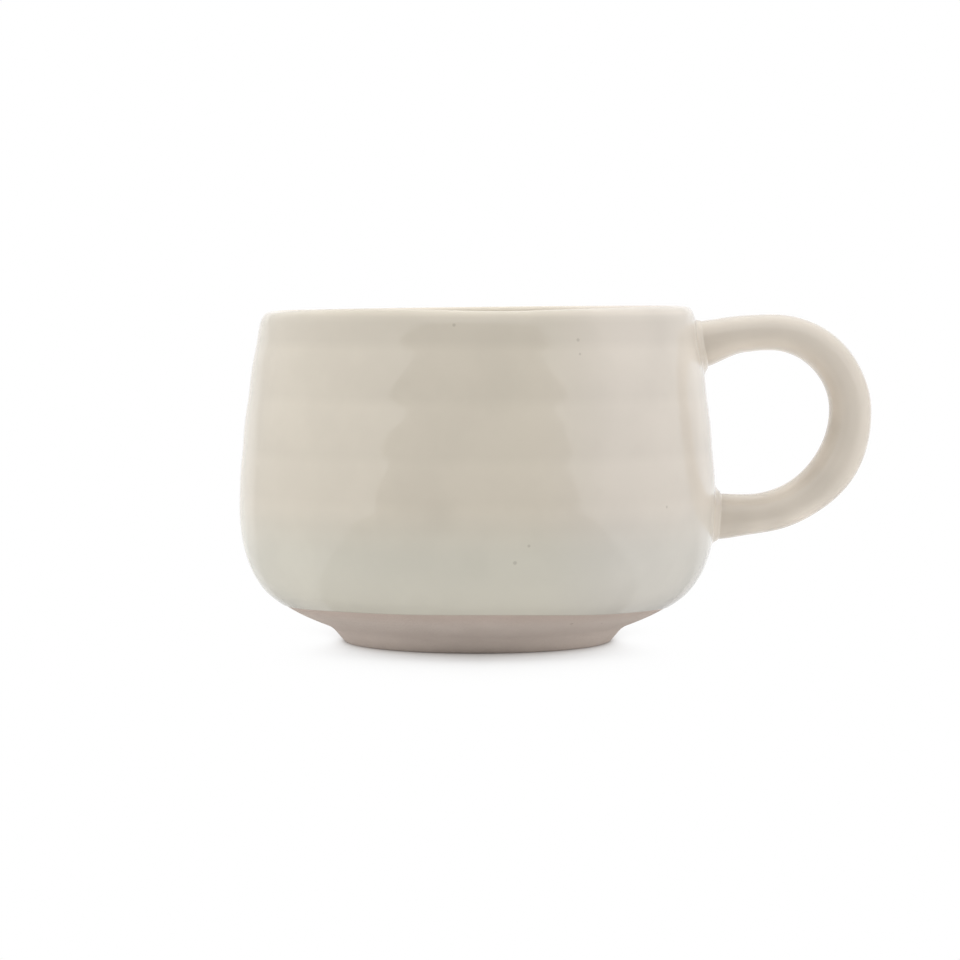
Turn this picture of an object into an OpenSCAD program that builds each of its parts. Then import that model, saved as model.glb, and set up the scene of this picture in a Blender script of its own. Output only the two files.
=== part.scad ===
// Cappuccino cup: a thrown stoneware bowl on a turned foot ring, with a pulled handle luted to the
// wall by two slip collars, all under a coat of glaze that stops short of the foot.
// Millimetres, +Z up. The origin is the middle of the foot, on the table. The handle points along +X.

/* [Cup] */
// Height from the table to the top of the glazed lip
cup_h = 63.3; // [56:0.1:75]
// Diameter over the glaze at the widest part of the belly
belly_d = 90.6; // [84:0.1:100]
// Height of the widest part of the belly above the table
belly_z = 26.3; // [22:0.1:31]
// Diameter over the glaze where the lip starts to round over
lip_d = 82; // [76:0.1:88]
// Inward lean of the wall at the lip, in degrees
lip_lean = 12; // [4:0.5:18]

/* [Clay] */
// Thickness of the clay wall at the belly
wall_t = 3.8; // [3:0.1:5]
// Thickness of the clay at the lip
lip_t = 2.2; // [1.8:0.1:3]
// Thickness of the clay floor
floor_t = 5; // [4:0.1:6.5]
// Diameter of the flat part of the floor inside
floor_d = 40; // [30:0.5:46]

/* [Curves] */
// Rise of the underside where it leaves the foot, in degrees
underside_rise = 20.5; // [12:0.5:28]
// How far the underside holds that rise
underside_run = 10.6; // [6:0.1:13]
// How far the belly stays upright below its widest part
belly_fall = 16; // [10:0.1:18]
// How far the belly stays upright above its widest part
belly_hold = 7; // [4:0.1:12]
// How far the lean of the lip runs down the wall
lip_run = 11.3; // [6:0.1:16]
// How far the inside floor stays flat past its flat part
floor_run = 13; // [8:0.1:15]
// How far the inside stays upright below the belly
inside_fall = 13; // [8:0.1:15]

/* [Foot] */
// Height of the foot ring
foot_h = 3; // [2:0.1:5]
// Diameter of the foot where it meets the underside
foot_top_d = 55.7; // [52:0.1:60]
// Diameter of the foot where it meets the table, before its edge is rounded
foot_d = 50.6; // [46:0.1:55]
// Width of the ring where it meets the table
foot_ring_w = 4.6; // [3:0.1:7]
// How much wider the ring is inside, at the underside
foot_inner_taper = 1.2; // [0.4:0.1:2]
// Radius of the two edges that meet the table
foot_edge_r = 0.8; // [0.3:0.05:1.2]

/* [Handle] */
// Thickness of the clay strap, seen from the side
handle_t = 6.6; // [5:0.1:8]
// Width of the clay strap, seen from the end
handle_w = 10.2; // [9:0.1:14]
// How far the glazed handle stands out from the belly
handle_out = 29.1; // [25:0.1:34]
// Distance from the top of the lip down to the top of the glazed handle
handle_drop = 1; // [0.5:0.1:4]
// Radius of the crown of the loop, on the middle of the strap
crown_r = 14.9; // [13:0.1:17]
// Radius of the lower sweep of the loop, on the middle of the strap
sweep_r = 19.5; // [16:0.1:21]
// Radius of the upper arm's slight bow from the wall to the crown, on the middle of the strap
arm_bow_r = 52; // [40:1:90]

/* [Handle joints] */
// Thickness of the slip between the wall and the end of the handle
slip_t = 0.6; // [0.3:0.05:1]
// How far a collar stands out around the handle at the wall
collar_w = 1.5; // [0.8:0.1:2.5]
// How far a collar reaches out along the handle
collar_h = 3.6; // [2.5:0.1:5]
// Height of the collar's outer edge above the wall
collar_rim = 0.4; // [0.2:0.05:0.8]
// Thickness of the collar where it ends on the handle
collar_tip = 0.3; // [0.2:0.05:0.6]

/* [Glaze] */
// Thickness of the glaze
glaze_t = 0.4; // [0.2:0.05:0.6]
// Height of the glaze line on the wall
glaze_z = 7; // [5.5:0.1:10]
// How far below the top of the lip the outside coat laps over into the cup
glaze_lap = 6; // [3:0.5:12]

/* [Hidden] */
$fn = 120;
// Depth behind the wall at which handle and collar blanks start before they are cut to the wall
root_depth = 8;
// Straight steps along each curve of the wall
wall_steps = 20;
// Straight steps along the bare underside, below the glaze line
underside_steps = 6;
// Straight steps along each half of the lip
lip_steps = 6;
// Straight steps along the outside coat's lap inside the cup
lap_steps = 4;
// Straight steps around a small rounded edge
edge_steps = 5;
// Halvings used to find a height on the wall
search_steps = 24;

clay_colour = "#a8968a";
slip_colour = "#b5a598";
glaze_colour = "#d9d0c1";
liner_colour = "#ddd5c7";

belly_r = belly_d / 2 - glaze_t;
inside_r = belly_r - wall_t;
foot_top_r = foot_top_d / 2;
floor_r = floor_d / 2;
floor_z = foot_h + floor_t;

// The lip is a half round about this middle, turned by the lean of the wall.
lip_r = lip_t / 2;
lip_out = [cos(lip_lean), sin(lip_lean)];
lip_down = [sin(lip_lean), -cos(lip_lean)];
lip_mid = [lip_d / 2 - (lip_r + glaze_t) * cos(lip_lean), cup_h - glaze_t - lip_r];

// Each curve has two end points with a handle point beside each, in radius and height.
underside_out = [cos(underside_rise), sin(underside_rise)];
lower_wall = [
    [foot_top_r, foot_h],
    [foot_top_r, foot_h] + underside_run * underside_out,
    [belly_r, belly_z - belly_fall],
    [belly_r, belly_z]
];
upper_wall = [
    [belly_r, belly_z],
    [belly_r, belly_z + belly_hold],
    lip_mid + lip_r * lip_out + lip_run * lip_down,
    lip_mid + lip_r * lip_out
];
upper_inside = [
    lip_mid - lip_r * lip_out,
    lip_mid - lip_r * lip_out + lip_run * lip_down,
    [inside_r, belly_z + belly_hold],
    [inside_r, belly_z]
];
lower_inside = [
    [inside_r, belly_z],
    [inside_r, belly_z - inside_fall],
    [floor_r + floor_run, floor_z],
    [floor_r, floor_z]
];

function unit(v) = v / norm(v);
function backwards(list) = [for (i = [len(list) - 1 : -1 : 0]) list[i]];

// A point of a curve, and the direction in which the curve runs there
function curve_at(c, t) =
    pow(1 - t, 3) * c[0] + 3 * pow(1 - t, 2) * t * c[1] + 3 * (1 - t) * t * t * c[2] + pow(t, 3) * c[3];
function curve_run(c, t) =
    unit(pow(1 - t, 2) * (c[1] - c[0]) + 2 * (1 - t) * t * (c[2] - c[1]) + t * t * (c[3] - c[2]));

// A point of a curve, moved off the clay by the thickness of a coat
function coat_at(c, t, coat) =
    let (run = curve_run(c, t))
    curve_at(c, t) + coat * [run[1], -run[0]];

// Points along a curve after its point at "from", up to and with its point at "to"
function coat_line(c, from, to, steps, coat) =
    [for (i = [1 : steps]) coat_at(c, from + (to - from) * i / steps, coat)];

// The place along a rising curve where it reaches a height, found by halving
function place_at_height(c, z, low, high, steps) =
    let (middle = (low + high) / 2)
    steps == 0 ? middle
    : curve_at(c, middle)[1] < z ? place_at_height(c, z, middle, high, steps - 1)
    : place_at_height(c, z, low, middle, steps - 1);

// Points around the lip after one angle, up to and with another
function lip_line(from, to, coat) =
    [for (i = [1 : lip_steps])
        let (a = from + (to - from) * i / lip_steps)
        lip_mid + (lip_r + coat) * [cos(a), sin(a)]];

// Points that round the corner at p, between the points a and b beside it
function rounded(a, p, b, r) =
    let (u = unit(a - p))
    let (v = unit(b - p))
    let (half = acos(u * v) / 2)
    let (middle = p + unit(u + v) * r / sin(half))
    let (first = p + u * r / tan(half) - middle)
    let (last = p + v * r / tan(half) - middle)
    [for (i = [0 : edge_steps]) middle + r * unit(first + (last - first) * i / edge_steps)];

// The lines that the clay and its coats share
function bare_line(coat) =
    concat([coat_at(lower_wall, 0, coat)], coat_line(lower_wall, 0, glaze_start, underside_steps, coat));
function glazed_line(coat) =
    concat(
        coat_line(lower_wall, glaze_start, 1, wall_steps, coat),
        coat_line(upper_wall, 0, 1, wall_steps, coat),
        lip_line(lip_lean, 90, coat)
    );
function lap_line(coat) =
    concat(
        lip_line(90, 180 + lip_lean, coat),
        coat_line(upper_inside, 0, lap_end, lap_steps, coat)
    );
function liner_line(coat) =
    concat(
        coat_line(upper_inside, lap_end, 1, wall_steps, coat),
        coat_line(lower_inside, 0, 1, wall_steps, coat),
        [[0, floor_z + coat]]
    );

// Radius of the clay wall at a height
function wall_r(z) = lookup(z, [for (p = concat(bare_line(0), glazed_line(0))) [p[1], p[0]]]);

// Where the glaze line lies along the lower wall, and where the lap ends inside
glaze_start = place_at_height(lower_wall, glaze_z, 0, 1, search_steps);
lap_end = 1 - place_at_height(backwards(upper_inside), cup_h - glaze_lap, 0, 1, search_steps);

// The loop's middle line: the bowed upper arm, the crown, the sweep and a straight lower arm.
handle_r = handle_t / 2;
strap_half = (handle_w - handle_t) / 2;
far_x = belly_d / 2 + handle_out - glaze_t - handle_r;
top_z = cup_h - handle_drop - glaze_t - handle_r;
crown_x = far_x - crown_r;
crown_z = top_z - crown_r;
sweep_x = far_x - sweep_r;
lower_arm_z = crown_z - sweep_r;

// Height of the upper arm's middle line at a distance from the cup's axis
function arm_z(x) = top_z - arm_bow_r + sqrt(pow(arm_bow_r, 2) - pow(crown_x - x, 2));

// Height at which the upper arm's middle line meets the wall, found by going back and forth
function arm_root_z(z, steps) = steps == 0 ? z : arm_root_z(arm_z(wall_r(z)), steps - 1);

upper_root_z = arm_root_z(top_z, search_steps);
upper_root = [wall_r(upper_root_z), 0, upper_root_z];
lower_root = [wall_r(lower_arm_z), 0, lower_arm_z];
root_rise = asin((crown_x - upper_root[0]) / arm_bow_r);
arm_bow = asin((crown_x - upper_root[0] + root_depth) / arm_bow_r);
lower_arm_l = sweep_x - lower_root[0] + root_depth;

// All that lies inside the outer face of the wall, grown by a coat
module wall_block(coat) {
    line = concat(bare_line(coat), glazed_line(coat));
    rotate_extrude()
        polygon(concat([[0, line[0][1]]], line, [[0, line[len(line) - 1][1]]]));
}

// Section of the handle: thick along X, wide along Y, with round sides
module strap(coat) {
    for (side = [-1, 1])
        translate([0, side * strap_half])
            circle(r = handle_r + coat);
    square([handle_t + 2 * coat, 2 * strap_half], center = true);
}

// One bend of the loop, from one angle to another about its middle
module bend(x, z, r, from, to, coat) {
    translate([x, 0, z])
        rotate([90, 0, 0])
            rotate([0, 0, from])
                rotate_extrude(angle = to - from)
                    translate([r, 0])
                        strap(coat);
}

// The whole strap, grown by a coat, with its arms still running on into the wall
module loop(coat) {
    bend(crown_x, top_z - arm_bow_r, arm_bow_r, 90, 90 + arm_bow, coat);
    bend(crown_x, crown_z, crown_r, 0, 90, coat);
    bend(sweep_x, crown_z, sweep_r, -90, 0, coat);
    translate([sweep_x, 0, lower_arm_z])
        rotate([0, -90, 0])
            linear_extrude(lower_arm_l)
                strap(coat);
}

// Side line of a collar: up its edge, then a hollow sweep on to the handle
function collar_side(coat) =
    concat(
        [[handle_r + collar_w + coat, -root_depth]],
        [for (i = [0 : edge_steps])
            let (a = 90 * i / edge_steps)
            [handle_r + coat + collar_tip + (collar_w - collar_tip) * (1 - sin(a)),
             coat + collar_rim + (collar_h - collar_rim) * (1 - cos(a))]]
    );

// A collar's blank around the strap, grown by a coat, before it is cut to the wall
module collar(root, rise, coat) {
    side = collar_side(coat);
    top = [0, collar_h + coat];
    translate(root)
        rotate([0, 90 - rise, 0]) {
            for (turn = [0, 1])
                mirror([0, turn, 0])
                    translate([0, strap_half, 0])
                        rotate_extrude(angle = 180)
                            polygon(concat([[0, -root_depth]], side, [top]));
            rotate([90, 0, 0])
                linear_extrude(2 * strap_half, center = true)
                    polygon(concat(side, backwards([for (p = side) [-p[0], p[1]]])));
        }
}

module upper_collar(coat) { collar(upper_root, root_rise, coat); }

module lower_collar(coat) { collar(lower_root, 0, coat); }

// The clay strap with both ends cut to saddle the wall
module handle_clay() {
    difference() {
        loop(0);
        wall_block(slip_t);
    }
}

// Thrown clay wall and floor
module bowl() {
    color(clay_colour)
        rotate_extrude()
            polygon(concat([[0, foot_h]], bare_line(0), glazed_line(0), lap_line(0), liner_line(0)));
}

// Turned clay foot under the bowl
module foot_ring() {
    outer_top = [foot_top_r, foot_h];
    outer_low = [foot_d / 2, 0];
    inner_low = [foot_d / 2 - foot_ring_w, 0];
    inner_top = [foot_d / 2 - foot_ring_w - foot_inner_taper, foot_h];
    color(clay_colour)
        rotate_extrude()
            polygon(concat(
                rounded(inner_top, inner_low, outer_low, foot_edge_r),
                rounded(inner_low, outer_low, outer_top, foot_edge_r),
                [outer_top, inner_top]
            ));
}

// Pulled clay loop
module handle() {
    color(clay_colour) handle_clay();
}

// Slip collar and pad under the lip
module upper_handle_joint() {
    color(slip_colour)
        difference() {
            upper_collar(0);
            wall_block(0);
            handle_clay();
        }
}

// Slip collar and pad at the belly
module lower_handle_joint() {
    color(slip_colour)
        difference() {
            lower_collar(0);
            wall_block(0);
            handle_clay();
        }
}

// Coat on the outside of the wall, with an opening around each collar, and its lap over the lip
module outer_glaze() {
    edge = coat_at(lower_wall, glaze_start, 0);
    skin_edge = coat_at(lower_wall, glaze_start, glaze_t);
    crest = lip_mid + [0, lip_r];
    color(glaze_colour) {
        difference() {
            rotate_extrude()
                polygon(concat(
                    [edge, skin_edge],
                    glazed_line(glaze_t),
                    backwards(glazed_line(0))
                ));
            upper_collar(0);
            lower_collar(0);
        }
        rotate_extrude()
            polygon(concat(
                [crest + [0, glaze_t]],
                lap_line(glaze_t),
                backwards(lap_line(0)),
                [crest]
            ));
    }
}

// Liner coat on the inside of the wall below the lap, and over the floor
module inner_glaze() {
    color(liner_colour)
        rotate_extrude()
            polygon(concat(
                [coat_at(upper_inside, lap_end, glaze_t)],
                liner_line(glaze_t),
                backwards(liner_line(0)),
                [coat_at(upper_inside, lap_end, 0)]
            ));
}

// Coat over the loop and both collars, down on to the coat of the wall
module handle_glaze() {
    color(glaze_colour)
        difference() {
            union() {
                loop(glaze_t);
                upper_collar(glaze_t);
                lower_collar(glaze_t);
            }
            wall_block(glaze_t);
            loop(0);
            upper_collar(0);
            lower_collar(0);
        }
}

bowl();
foot_ring();
handle();
upper_handle_joint();
lower_handle_joint();
outer_glaze();
inner_glaze();
handle_glaze();
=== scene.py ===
"""Looks of a hand-thrown cappuccino cup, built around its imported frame.

The cup is a stoneware bowl on a turned foot, with a pulled handle set on by two slip collars, all
under a cream glaze that stops short of the foot. Sizes of the pieces are in millimetres and become
metres where a mesh is made, and angles are in radians. Finishes and the studio are in metres. The
handle points along +X, and the photo's camera stands on the -Y side.
"""

import logging
import math
from bisect import bisect_left
from dataclasses import dataclass, field
from enum import Enum
from typing import Any, Sequence

import bmesh
import bpy
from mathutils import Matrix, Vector, noise


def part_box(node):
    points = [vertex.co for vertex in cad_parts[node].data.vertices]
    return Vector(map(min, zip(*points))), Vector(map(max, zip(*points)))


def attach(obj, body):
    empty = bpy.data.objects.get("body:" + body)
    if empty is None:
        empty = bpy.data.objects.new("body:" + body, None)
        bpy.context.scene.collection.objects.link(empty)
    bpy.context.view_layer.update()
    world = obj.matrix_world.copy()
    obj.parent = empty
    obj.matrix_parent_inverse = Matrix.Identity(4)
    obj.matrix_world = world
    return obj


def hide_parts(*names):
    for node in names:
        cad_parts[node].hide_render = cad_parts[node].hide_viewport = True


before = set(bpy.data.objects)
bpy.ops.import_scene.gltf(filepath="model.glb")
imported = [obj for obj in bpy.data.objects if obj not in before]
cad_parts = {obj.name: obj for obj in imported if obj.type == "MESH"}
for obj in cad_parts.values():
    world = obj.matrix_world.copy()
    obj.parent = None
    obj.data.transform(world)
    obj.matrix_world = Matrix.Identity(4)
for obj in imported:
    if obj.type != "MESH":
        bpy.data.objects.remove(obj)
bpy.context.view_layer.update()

LOG = logging.getLogger("cappuccino_cup")
MM = 0.001
BODY = "root"
Piece = bpy.types.Object
Material = bpy.types.Material
Node = bpy.types.Node
Socket = bpy.types.NodeSocket
Colour = tuple[float, float, float]
Marks = tuple[tuple[float, float], ...]
WHITE: Colour = (1.0, 1.0, 1.0)


class Slot(Enum):
    """Material slots of the record."""

    CLAY = "stoneware_clay"
    SLIP = "joint_slip"
    CREAM = "cream_glaze"
    LINER = "liner_glaze"


def ease(value: float) -> float:
    """A soft step from 0 to 1 while the value goes from 0 to 1."""
    held = min(max(value, 0.0), 1.0)
    return held * held * (3 - 2 * held)


def bell(value: float, reach: float) -> float:
    """A bell that is 1 at 0 and has fallen to about 0.6 at its reach."""
    return math.exp(-0.5 * (value / reach) ** 2)


def azimuth(x: float, y: float) -> float:
    """Angle around the axis from the front, growing towards the handle."""
    return math.atan2(x, -y)


def evenly(start: float, stop: float, step: float) -> list[float]:
    """Values from start to stop, both included, about a step apart."""
    count = max(1, round(abs(stop - start) / step))
    return [start + (stop - start) * i / count for i in range(count + 1)]


class Bench:
    """Modelling moves, made with Blender's operators, that the pieces share."""

    MERGE = 2e-6
    SHARP = math.radians(38)
    COLUMN = "column"

    @staticmethod
    def open_new(name: str) -> Piece:
        """Name the primitive that was just added and open it.

        Args:
            name: Name of the new piece.

        Returns:
            The piece, in edit mode.
        """
        piece = bpy.context.object
        piece.name = name
        piece.data.name = name
        bpy.ops.object.mode_set(mode="EDIT")
        return piece

    @classmethod
    def begin_line(cls, name: str, points: Sequence[Vector]) -> Piece:
        """Draw a side line by extruding one vertex from point to point.

        Args:
            name: Name of the new piece.
            points: Radius and height of each point, in millimetres.

        Returns:
            The piece, still in edit mode.
        """
        bpy.ops.object.select_all(action="DESELECT")
        bpy.ops.mesh.primitive_plane_add(size=MM, location=(0, 0, 0))
        piece = cls.open_new(name)
        bpy.ops.mesh.select_all(action="SELECT")
        bpy.ops.mesh.merge(type="CENTER")
        places = [Vector((p.x, 0, p.y)) * MM for p in points]
        bpy.ops.transform.translate(value=places[0])
        for before, after in zip(places, places[1:]):
            bpy.ops.mesh.extrude_region_move(TRANSFORM_OT_translate={"value": after - before})
        return piece

    @classmethod
    def turn(cls, name: str, points: Sequence[Vector], steps: int) -> Piece:
        """Turn a side line about the cup's axis, as on the wheel.

        Args:
            name: Name of the new piece.
            points: Radius and height of each point, in millimetres.
            steps: Steps around the axis.

        Returns:
            The closed piece, in object mode.
        """
        piece = cls.begin_line(name, points)
        bpy.ops.mesh.select_all(action="SELECT")
        bpy.ops.mesh.spin(steps=steps, angle=2 * math.pi, center=(0, 0, 0), axis=(0, 0, 1))
        cls.close_up()
        bpy.ops.object.mode_set(mode="OBJECT")
        return piece

    @classmethod
    def pull(cls, name: str, rings: Sequence[Sequence[Vector]], ring_shaped: bool) -> Piece:
        """Pull a strap by extruding one ring from place to place.

        Args:
            name: Name of the new piece.
            rings: Rings of points in millimetres, each with as many points.
            ring_shaped: Whether the last ring is joined to the first, or else both ends are capped.

        Returns:
            The closed piece, in object mode.
        """
        piece = cls.pull_open(name, rings)
        if ring_shaped:
            bpy.ops.mesh.select_all(action="DESELECT")
            bpy.ops.mesh.select_non_manifold()
            bpy.ops.mesh.bridge_edge_loops()
        else:
            bpy.ops.mesh.select_all(action="SELECT")
            bpy.ops.mesh.fill_holes(sides=0)
        cls.close_up()
        bpy.ops.object.mode_set(mode="OBJECT")
        return piece

    @classmethod
    def pull_open(cls, name: str, rings: Sequence[Sequence[Vector]]) -> Piece:
        """Extrude one ring from place to place and leave both ends open.

        Args:
            name: Name of the new piece.
            rings: Rings of points in millimetres, each with as many points.

        Returns:
            The piece, still in edit mode.
        """
        bpy.ops.object.select_all(action="DESELECT")
        bpy.ops.mesh.primitive_circle_add(vertices=len(rings[0]), radius=MM, fill_type="NOTHING")
        piece = cls.open_new(name)
        mesh = bmesh.from_edit_mesh(piece.data)
        column = mesh.verts.layers.int.new(cls.COLUMN)
        for place, vertex in enumerate(mesh.verts):
            vertex[column] = place
        bpy.ops.mesh.select_all(action="SELECT")
        for number, ring in enumerate(rings):
            if number:
                bpy.ops.mesh.extrude_region_move(TRANSFORM_OT_translate={"value": (0, 0, 0)})
            mesh = bmesh.from_edit_mesh(piece.data)
            column = mesh.verts.layers.int[cls.COLUMN]
            for vertex in mesh.verts:
                if vertex.select:
                    vertex.co = ring[vertex[column]] * MM
            bmesh.update_edit_mesh(piece.data)
        return piece

    @classmethod
    def close_up(cls) -> None:
        """Merge doubled points and turn all faces outwards."""
        bpy.ops.mesh.select_all(action="SELECT")
        bpy.ops.mesh.remove_doubles(threshold=cls.MERGE)
        bpy.ops.mesh.normals_make_consistent(inside=False)

    @classmethod
    def smooth(cls, piece: Piece) -> None:
        """Shade a piece smooth, except across its sharp edges.

        Args:
            piece: The piece.
        """
        bpy.ops.object.select_all(action="DESELECT")
        piece.select_set(True)
        bpy.context.view_layer.objects.active = piece
        bpy.ops.object.shade_smooth_by_angle(angle=cls.SHARP)

    @classmethod
    def hand_over(cls, piece: Piece, material: Material, slot: Slot, *nodes: str) -> None:
        """Dress a finished piece and set it in the frame.

        Args:
            piece: The finished piece.
            material: Its material.
            slot: The record's slot of that material; not used.
            nodes: CAD nodes that the piece stands for.
        """
        column = piece.data.attributes.get(cls.COLUMN)
        if column:
            piece.data.attributes.remove(column)
        cls.smooth(piece)
        piece.data.materials.clear()
        piece.data.materials.append(material)
        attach(piece, BODY)
        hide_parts(*nodes)
        faces = len(piece.data.polygons)
        size = ", ".join(f"{length / MM:.1f}" for length in piece.dimensions)
        LOG.info("%s: %d faces, %s mm, for %s", piece.name, faces, size, ", ".join(nodes))


@dataclass(frozen=True)
class ThrowingRings:
    """Full rounds that the fingers leave up a wall, with a narrow valley between each two."""

    valleys: tuple[float, ...]
    fullness: float = 0.016
    soft: float = 1.0
    faint_z: float = 15.0
    full_z: float = 40.0
    faintest: float = 0.3
    # Painted shading: the first depth below is that of each ring's painted highlight and shade, then come
    # the painted shade of the band under the lip and the painted highlight on the lip.
    tone: float = 0.019
    reach: float = 1.0
    band_painted_shade: float = 0.957
    lip_painted_highlight: float = 1.10
    plain_z: float = 20.0
    round_above: float = 4.0
    band_ends: float = 3.2
    lip_starts: float = 2.1
    lip_full: float = 1.5

    def strength(self, z: float) -> float:
        """Share of its depth that a ring at a height has: they grow fainter towards the foot."""
        return min(max((z - self.faint_z) / (self.full_z - self.faint_z), self.faintest), 1.0)

    def sharp(self, z: float) -> float:
        """Height of the rounds over their mean, with sharp valleys.

        Args:
            z: Height up the wall.

        Returns:
            How far the wall stands out, which is nothing outside the outermost valleys.
        """
        for low, high in zip(self.valleys, self.valleys[1:]):
            if low <= z <= high:
                share = (z - low) / (high - low)
                height = self.fullness * (high - low) * self.strength((low + high) / 2)
                # An arch that is 1 in the middle, less its mean
                return height * (4 * share * (1 - share) - 2 / 3)
        return 0.0

    def at(self, z: float) -> float:
        """Height of the rounds over their mean, softened as glaze softens them."""
        taps = (-1.0, -0.5, 0.0, 0.5, 1.0)
        return sum(self.sharp(z + tap * self.soft) for tap in taps) / len(taps)

    def painted_shading(self) -> Marks:
        """Painted shading of the rings and painted light on the lip, by height.

        Returns:
            Rising heights, each with a factor of the glaze's colour: a painted highlight just below a
            valley, where a round faces up, and painted shade just above it, where it faces down; a band
            of painted shade under the lip and a painted highlight on the lip. Low down, the valleys are
            too faint to change it.
        """
        marks = [(self.plain_z, 1.0)]
        for valley in self.valleys[1:-1]:
            if valley > self.plain_z:
                change = self.tone * self.strength(valley + self.round_above)
                marks += [(valley - self.reach, 1 + change), (valley + self.reach, 1 - change)]
        lip = self.valleys[-1]
        marks[-1] = (marks[-1][0], self.band_painted_shade)
        marks += [(lip - self.band_ends, self.band_painted_shade), (lip - self.lip_starts, 1.0)]
        return (*marks, (lip - self.lip_full, self.lip_painted_highlight))


@dataclass(frozen=True)
class Sweep:
    """One cubic curve of a side line: two ends and the handle point beside each."""

    start: Vector
    leave: Vector
    arrive: Vector
    end: Vector

    def at(self, t: float) -> Vector:
        """Point of the curve.

        Args:
            t: Share of the way along it.

        Returns:
            Radius and height of the point.
        """
        u = 1 - t
        first = u**3 * self.start + 3 * u * u * t * self.leave
        return first + 3 * u * t * t * self.arrive + t**3 * self.end

    def run(self, t: float) -> Vector:
        """Direction of the curve.

        Args:
            t: Share of the way along it.

        Returns:
            The direction, of length 1.
        """
        u = 1 - t
        first, middle, last = self.leave - self.start, self.arrive - self.leave, self.end - self.arrive
        return (u * u * first + 2 * u * t * middle + t * t * last).normalized()


class SideLine:
    """A chain of curves sampled closely, so that a point is found by its distance along the chain."""

    SAMPLES = 160
    NO_STEP = 1e-9

    def __init__(self, sweeps: Sequence[Sweep], rings: ThrowingRings) -> None:
        """Sample the chain.

        Args:
            sweeps: The curves, each from the end of the one before.
            rings: Rounds and valleys in the surface.
        """
        self.places: list[Vector] = []
        self.outs: list[Vector] = []
        for number, sweep in enumerate(sweeps):
            for i in range(1 if number else 0, self.SAMPLES + 1):
                t = i / self.SAMPLES
                run, place = sweep.run(t), sweep.at(t)
                out = Vector((run.y, -run.x))
                self.places.append(place + out * rings.at(place.y))
                self.outs.append(out)
        self.lengths = [0.0]
        for before, after in zip(self.places, self.places[1:]):
            self.lengths.append(self.lengths[-1] + (after - before).length)
        self.rises = self.places[-1].y > self.places[0].y
        self.order = [place.y if self.rises else -place.y for place in self.places]

    @property
    def total(self) -> float:
        """Whole length of the chain."""
        return self.lengths[-1]

    def _between(self, ladder: Sequence[float], value: float) -> tuple[int, float]:
        """Find a value in a rising list.

        Args:
            ladder: The rising list.
            value: The value to find.

        Returns:
            The place before it and the share of the step after that place.
        """
        i = min(max(bisect_left(ladder, value), 1), len(ladder) - 1) - 1
        step = ladder[i + 1] - ladder[i]
        share = (value - ladder[i]) / step if step > self.NO_STEP else 0.0
        return i, min(max(share, 0.0), 1.0)

    def at(self, distance: float, coat: float) -> Vector:
        """Point at a distance along the chain, moved off the clay by a coat.

        Args:
            distance: Distance along the chain.
            coat: Thickness of the coat.

        Returns:
            Radius and height of the point.
        """
        i, share = self._between(self.lengths, distance)
        place = self.places[i].lerp(self.places[i + 1], share)
        return place + coat * self.outs[i].lerp(self.outs[i + 1], share).normalized()

    def where(self, z: float) -> float:
        """Distance along the chain at which it reaches a height.

        Args:
            z: The height.

        Returns:
            The distance along the chain.
        """
        i, share = self._between(self.order, z if self.rises else -z)
        return self.lengths[i] + share * (self.lengths[i + 1] - self.lengths[i])

    def radius(self, z: float, coat: float = 0.0) -> float:
        """Radius of the coated surface at a height."""
        return self.at(self.where(z), coat).x


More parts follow.
